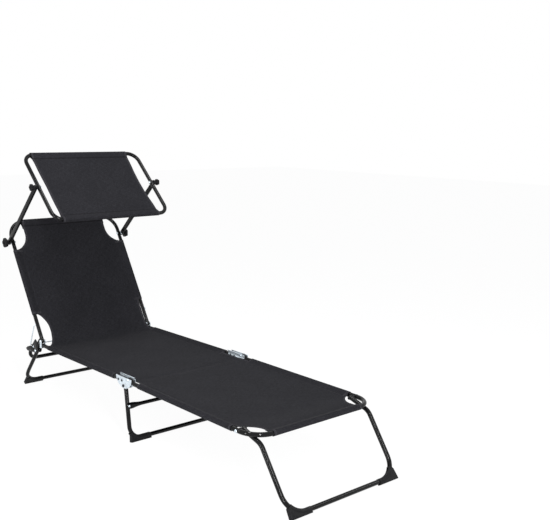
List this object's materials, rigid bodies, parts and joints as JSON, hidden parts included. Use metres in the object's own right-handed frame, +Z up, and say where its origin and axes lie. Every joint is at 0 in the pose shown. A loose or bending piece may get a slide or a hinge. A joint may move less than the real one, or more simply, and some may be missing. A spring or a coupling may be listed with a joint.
{
  "type": "folding sun lounger with canopy",
  "caption": "Folding sun lounger of bent round tube with cloth covers, a reclining back held by a wire bail, folding legs and a tilting canopy on knobbed arms.",
  "frame": {"origin": "on the floor under the middle of the lounger's length and width", "axes": "+Z up, +Y along the lounger towards the head, X across it with the sitter's left at +X"},
  "size_m": [0.6224, 1.7668, 1.0076],
  "materials": {
    "black_paint": "glossy black powder coat",
    "zinc": "bright zinc plate",
    "black_plastic": "matt moulded plastic",
    "cloth": "fine woven charcoal cloth"
  },
  "bodies": {
    "seat_section": {"seat_frame": "black_paint", "seat_cover": "cloth", "hinge_plate_outer_left": "zinc", "hinge_plate_outer_right": "zinc", "hinge_plate_inner_left": "zinc", "hinge_plate_inner_right": "zinc", "seat_rivet_front_left": "zinc", "seat_rivet_front_right": "zinc", "seat_rivet_back_left": "zinc", "seat_rivet_back_right": "zinc", "mid_leg_pivot_left": "zinc", "mid_leg_pivot_right": "zinc", "foot_hinge_bolt_left": "zinc", "foot_hinge_bolt_right": "zinc", "rear_hinge_clevis_left": "zinc", "rear_hinge_clevis_right": "zinc", "clevis_rivet_left": "zinc", "clevis_rivet_right": "zinc", "back_hinge_bolt_left": "zinc", "back_hinge_bolt_right": "zinc", "ratchet_plate_outer_left": "black_paint", "ratchet_plate_outer_right": "black_paint", "ratchet_plate_inner_left": "black_paint", "ratchet_plate_inner_right": "black_paint", "ratchet_rivet_left": "zinc", "ratchet_rivet_right": "zinc", "rear_leg_pivot_left": "zinc", "rear_leg_pivot_right": "zinc"},
    "backrest": {"back_frame": "black_paint", "back_cover": "cloth", "lower_arm_bolt_left": "zinc", "lower_arm_bolt_right": "zinc"},
    "bail_wire": {"bail": "zinc"},
    "foot_section": {"foot_frame": "black_paint", "foot_cover": "cloth", "front_leg_pivot_left": "zinc", "front_leg_pivot_right": "zinc"},
    "front_leg_set": {"front_leg": "black_paint", "front_foot_pad_left": "black_plastic", "front_foot_pad_right": "black_plastic"},
    "mid_leg_set": {"mid_leg": "black_paint", "mid_foot_pad_left": "black_plastic", "mid_foot_pad_right": "black_plastic", "mid_leg_stretcher": "black_paint", "stretcher_rivet_left": "zinc", "stretcher_rivet_right": "zinc"},
    "rear_leg_set": {"rear_leg": "black_paint", "rear_foot_pad_left": "black_plastic", "rear_foot_pad_right": "black_plastic"},
    "canopy_arms": {"canopy_arm_left": "black_paint", "canopy_arm_right": "black_paint"},
    "canopy": {"canopy_frame": "black_paint", "canopy_cover": "cloth", "upper_arm_bolt_left": "zinc", "upper_arm_bolt_right": "zinc"},
    "lower_knob_left_body": {"lower_knob_left": "black_plastic"},
    "lower_knob_right_body": {"lower_knob_right": "black_plastic"},
    "upper_knob_left_body": {"upper_knob_left": "black_plastic"},
    "upper_knob_right_body": {"upper_knob_right": "black_plastic"}
  },
  "joints": [
    {"name": "backrest_recline", "type": "hinge", "parent": "seat_section", "child": "backrest", "pos_m": [0, 0.59033, 0.2362], "axis": [-1, 0, 0], "range_deg": [0, 58.9]},
    {"name": "bail_swing", "type": "hinge", "parent": "backrest", "child": "bail_wire", "pos_m": [0, 0.63062, 0.30299], "axis": [1, 0, 0], "range_deg": [0, 83]},
    {"name": "foot_fold", "type": "hinge", "parent": "seat_section", "child": "foot_section", "pos_m": [0, -0.06817, 0.236], "axis": [-1, 0, 0], "range_deg": [0, 176]},
    {"name": "front_leg_fold", "type": "hinge", "parent": "foot_section", "child": "front_leg_set", "pos_m": [0, -0.65817, 0.22513], "axis": [1, 0, 0], "range_deg": [0, 130]},
    {"name": "mid_leg_fold", "type": "hinge", "parent": "seat_section", "child": "mid_leg_set", "pos_m": [0, -0.03877, 0.2075], "axis": [1, 0, 0], "range_deg": [0, 92]},
    {"name": "rear_leg_fold", "type": "hinge", "parent": "seat_section", "child": "rear_leg_set", "pos_m": [0, 0.63733, 0.1873], "axis": [-1, 0, 0], "range_deg": [0, 118]},
    {"name": "canopy_arm_swing", "type": "hinge", "parent": "backrest", "child": "canopy_arms", "pos_m": [0, 0.82639, 0.62751], "axis": [1, 0, 0], "range_deg": [-150, 60]},
    {"name": "canopy_tilt", "type": "hinge", "parent": "canopy_arms", "child": "canopy", "pos_m": [0, 0.56533, 0.8785], "axis": [1, 0, 0], "range_deg": [-90, 90]},
    {"name": "lower_knob_left_turn", "type": "hinge", "parent": "backrest", "child": "lower_knob_left_body", "pos_m": [0.302, 0.82639, 0.62751], "axis": [1, 0, 0], "continuous": true},
    {"name": "lower_knob_right_turn", "type": "hinge", "parent": "backrest", "child": "lower_knob_right_body", "pos_m": [-0.302, 0.82639, 0.62751], "axis": [-1, 0, 0], "continuous": true},
    {"name": "upper_knob_left_turn", "type": "hinge", "parent": "canopy", "child": "upper_knob_left_body", "pos_m": [0.302, 0.56533, 0.8785], "axis": [1, 0, 0], "continuous": true},
    {"name": "upper_knob_right_turn", "type": "hinge", "parent": "canopy", "child": "upper_knob_right_body", "pos_m": [-0.302, 0.56533, 0.8785], "axis": [-1, 0, 0], "continuous": true}
  ],
  "couplings": [
    {"joint": "bail_swing", "follows": "backrest_recline", "ratio": 1.4},
    {"joint": "front_leg_fold", "follows": "foot_fold", "ratio": 0.72}
  ]
}
